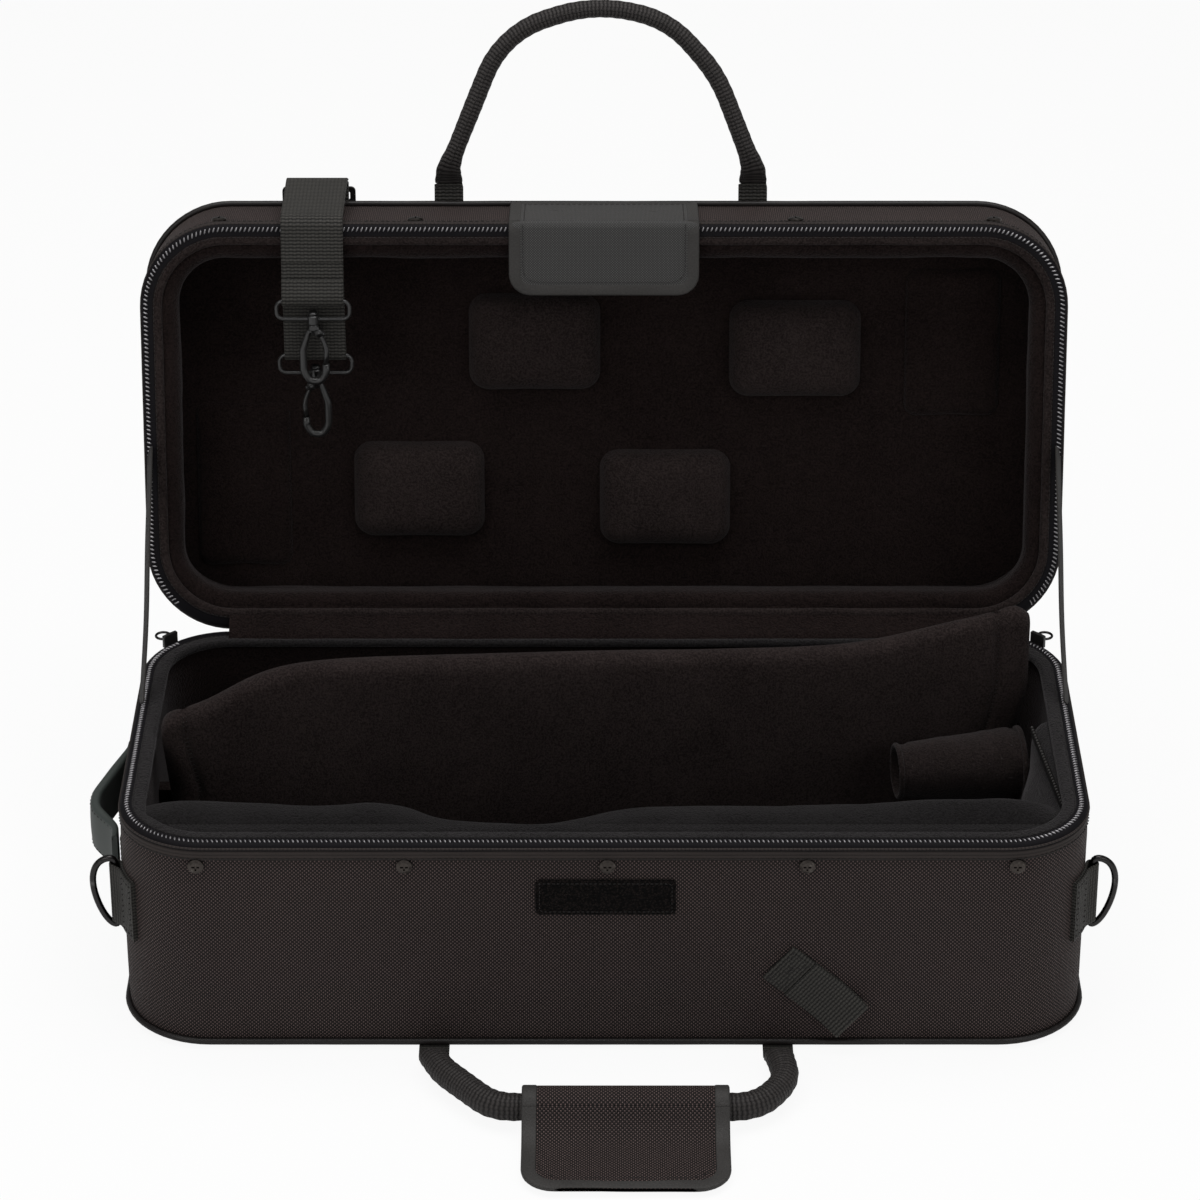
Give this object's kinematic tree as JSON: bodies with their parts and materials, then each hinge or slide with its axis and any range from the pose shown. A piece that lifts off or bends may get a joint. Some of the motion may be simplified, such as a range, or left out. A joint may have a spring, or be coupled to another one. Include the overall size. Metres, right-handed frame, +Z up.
{
  "type": "trumpet case",
  "caption": "Soft-sided oblong trumpet case standing open: padded zip case with hinged lid, rope carry handles, side grip, D-rings and a shoulder strap draped over the lid.",
  "frame": {"origin": "middle of the bottom panel, on the ground plane", "axes": "+X to the right when facing the front, +Y to the hinge at the back, +Z up"},
  "size_m": [0.6194, 0.5448, 0.5085],
  "materials": {
    "nylon": "ballistic weave, matt",
    "plywood": "birch plywood, raw",
    "piping": "smooth corded piping, satin",
    "zip_tape": "knitted tape",
    "zip_teeth": "dark metallic coil",
    "plush": "short plush",
    "loop_pile": "hook-and-loop pile",
    "webbing": "ribbed webbing",
    "ribbon": "flat woven ribbon",
    "coated_nylon": "coated nylon with bound edges",
    "grip_leather": "smooth, satin",
    "black_metal": "black gloss",
    "screw_steel": "dark nickel"
  },
  "bodies": {
    "base": {"base_bottom_panel": "nylon", "base_side_cover": "nylon", "base_shell": "plywood", "base_piping": "piping", "base_rim_tape": "zip_tape", "base_zip_chain": "zip_teeth", "base_rim_band": "plush", "base_screws": "screw_steel", "hinge_band_base": "nylon", "base_wall_lining": "plush", "base_floor_pad": "plush", "divider": "plush", "front_pad": "plush", "side_pad": "plush", "mouthpiece_pouch": "plush", "well_blocks": "plush", "loop_patch": "loop_pile", "tab_sewn_end": "webbing", "dring_webbing": "webbing", "side_grip": "grip_leather", "side_grip_anchors": "webbing", "base_handle_stubs": "webbing", "stay_ribbons": "ribbon"},
    "lid": {"lid_outer_panel": "nylon", "lid_side_cover": "nylon", "lid_shell": "plywood", "lid_piping": "piping", "lid_rim_tape": "zip_tape", "lid_zip_chain": "zip_teeth", "lid_rim_band": "plush", "lid_screws": "screw_steel", "hinge_band_lid": "nylon", "lid_bolster": "plush", "lid_lining": "plush", "lid_pads": "plush", "lid_end_panels": "plush", "lid_handle_stubs": "webbing", "lid_flap_sewn": "coated_nylon", "strap_over_rim": "webbing"},
    "flap": {"lid_flap_tongue": "coated_nylon"},
    "lid_handle": {"lid_handle": "webbing"},
    "strap_tail": {"strap_tail": "webbing", "strap_adjuster": "black_metal"},
    "strap_ends": {"strap_ends": "webbing", "strap_end_loops": "black_metal"},
    "snap_front": {"snap_hook_front": "black_metal"},
    "gate_front": {"snap_gate_front": "black_metal"},
    "snap_rear": {"snap_hook_rear": "black_metal"},
    "gate_rear": {"snap_gate_rear": "black_metal"},
    "base_handle": {"base_handle": "webbing", "hand_wrap": "coated_nylon"},
    "wrap_leaf": {"hand_wrap_leaf": "coated_nylon"},
    "tab": {"tab_free_end": "webbing"},
    "dring_left": {"dring_left": "black_metal"},
    "dring_right": {"dring_right": "black_metal"},
    "slider_left": {"zip_slider_left": "black_metal"},
    "slider_right": {"zip_slider_right": "black_metal"},
    "pull_left": {"pull_ring_left": "black_metal"},
    "pull_right": {"pull_ring_right": "black_metal"}
  },
  "joints": [
    {"name": "lid_hinge", "type": "hinge", "parent": "base", "child": "lid", "pos_m": [0, 0.129, 0.141], "axis": [1, 0, 0], "range_deg": [0, 101], "deforming": ["stay_ribbons"]},
    {"name": "flap_fold", "type": "hinge", "parent": "lid", "child": "flap", "pos_m": [0, 0.1823, 0.39752], "axis": [-1, 0, 0], "range_deg": [0, 90]},
    {"name": "lid_handle_swing", "type": "hinge", "parent": "lid", "child": "lid_handle", "pos_m": [0, 0.24721, 0.3941], "axis": [-1, 0, 0], "range_deg": [-75, 0]},
    {"name": "strap_tail_fold", "type": "hinge", "parent": "lid", "child": "strap_tail", "pos_m": [-0.179, 0.25578, 0.39162], "axis": [1, 0, 0], "range_deg": [0, 12]},
    {"name": "strap_ends_swing", "type": "hinge", "parent": "lid", "child": "strap_ends", "pos_m": [-0.179, 0.17601, 0.37228], "axis": [1, 0, 0], "range_deg": [0, 10]},
    {"name": "snap_front_swivel", "type": "hinge", "parent": "strap_ends", "child": "snap_front", "pos_m": [-0.179, 0.16906, 0.33678], "axis": [0, 0, 1], "range_deg": [-28, 28]},
    {"name": "snap_rear_swivel", "type": "hinge", "parent": "strap_ends", "child": "snap_rear", "pos_m": [-0.179, 0.17846, 0.29578], "axis": [0, 0, 1], "continuous": true},
    {"name": "gate_front_press", "type": "hinge", "parent": "snap_front", "child": "gate_front", "pos_m": [-0.1758, 0.16906, 0.32788], "axis": [0, 1, 0], "range_deg": [0, 22], "stiffness_Nm_per_rad": 0.002, "springref_deg": -5.73},
    {"name": "gate_rear_press", "type": "hinge", "parent": "snap_rear", "child": "gate_rear", "pos_m": [-0.1822, 0.17846, 0.28688], "axis": [0, -1, 0], "range_deg": [0, 22], "stiffness_Nm_per_rad": 0.002, "springref_deg": -5.73},
    {"name": "base_handle_swing", "type": "hinge", "parent": "base", "child": "base_handle", "pos_m": [0, -0.14315, 0.003], "axis": [-1, 0, 0], "range_deg": [0, 72]},
    {"name": "wrap_leaf_fold", "type": "hinge", "parent": "base_handle", "child": "wrap_leaf", "pos_m": [0.0125, -0.2076, 0.0061], "axis": [1, 0, 0], "range_deg": [-85, 0]},
    {"name": "tab_fold", "type": "hinge", "parent": "base", "child": "tab", "pos_m": [0.1158, -0.1328, 0.04901], "axis": [0.6494, 0, 0.7604], "range_deg": [-115, 0]},
    {"name": "dring_right_swing", "type": "hinge", "parent": "base", "child": "dring_right", "pos_m": [0.28875, -0.08483, 0.081], "axis": [0, 0, 1], "range_deg": [-45, 90]},
    {"name": "dring_left_swing", "type": "hinge", "parent": "base", "child": "dring_left", "pos_m": [-0.28875, -0.08483, 0.081], "axis": [0, 0, -1], "range_deg": [-45, 70]},
    {"name": "slider_right_travel", "type": "hinge", "parent": "base", "child": "slider_right", "pos_m": [0.233, 0.077, 0.141], "axis": [0, 0, -1], "range_deg": [0, 45]},
    {"name": "slider_left_travel", "type": "hinge", "parent": "base", "child": "slider_left", "pos_m": [-0.233, 0.077, 0.141], "axis": [0, 0, 1], "range_deg": [0, 45]},
    {"name": "pull_right_swing", "type": "hinge", "parent": "slider_right", "child": "pull_right", "pos_m": [0.27323, 0.11723, 0.141], "axis": [-0.7071, 0.7071, 0], "range_deg": [-75, 75]},
    {"name": "pull_left_swing", "type": "hinge", "parent": "slider_left", "child": "pull_left", "pos_m": [-0.27323, 0.11723, 0.141], "axis": [-0.7071, -0.7071, 0], "range_deg": [-75, 75]}
  ],
  "couplings": [
    {"joint": "flap_fold", "follows": "lid_hinge", "ratio": 0.89109},
    {"joint": "strap_tail_fold", "follows": "lid_hinge", "ratio": 0.11881},
    {"joint": "strap_ends_swing", "follows": "lid_hinge", "ratio": 0.099009}
  ]
}
